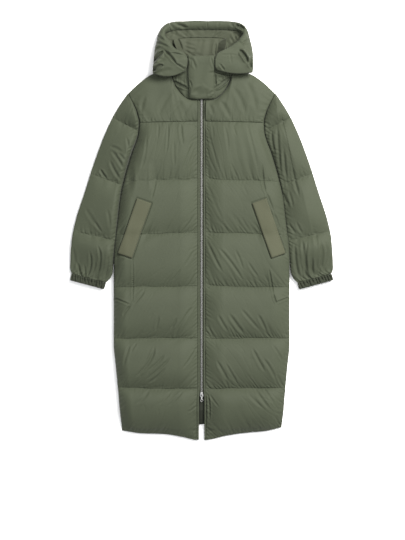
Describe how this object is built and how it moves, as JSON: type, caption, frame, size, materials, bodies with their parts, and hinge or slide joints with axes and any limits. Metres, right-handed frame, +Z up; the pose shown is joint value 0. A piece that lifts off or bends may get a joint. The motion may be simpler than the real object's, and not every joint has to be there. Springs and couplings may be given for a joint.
{
  "type": "long hooded puffer coat",
  "caption": "Long quilted coat laid flat on its back, with a stuffed hood, a stand collar under a chin flap, a full front zip, slanted welt pockets and gathered cuffs.",
  "frame": {"origin": "on the floor, under the middle of the coat's overall box", "axes": "+Z up off the floor, +Y towards the hood, +X towards the wearer's left sleeve"},
  "size_m": [0.9118, 1.4492, 0.089],
  "materials": {
    "shell_fabric": "matt woven shell with a soft sheen",
    "cuff_fabric": "matt, gathered on elastic",
    "lining_fabric": "smooth woven lining",
    "zip_tape": "matt woven tape",
    "zip_metal": "satin metal"
  },
  "bodies": {
    "coat": {"back": "shell_fabric", "front_left": "shell_fabric", "front_right": "shell_fabric", "yoke_left": "shell_fabric", "yoke_right": "shell_fabric", "sleeve_left": "shell_fabric", "sleeve_right": "shell_fabric", "hood_left": "shell_fabric", "hood_right": "shell_fabric", "hood_top": "shell_fabric", "chin_flap": "shell_fabric", "pocket_welt_left": "shell_fabric", "pocket_welt_right": "shell_fabric", "placket_left": "shell_fabric", "placket_right": "shell_fabric", "cuff_left": "cuff_fabric", "cuff_right": "cuff_fabric", "hood_back": "lining_fabric", "collar": "lining_fabric", "zip_tape_left": "zip_tape", "zip_tape_right": "zip_tape", "zip_teeth_left": "zip_metal", "zip_teeth_right": "zip_metal", "zip_slider": "zip_metal"},
    "pull_tab": {"pull_tab": "zip_metal"}
  },
  "joints": [
    {"name": "pull_tab_swing", "type": "hinge", "parent": "coat", "child": "pull_tab", "pos_m": [0, -0.5672, 0.03715], "axis": [-1, 0, 0], "range_deg": [0, 170]}
  ]
}
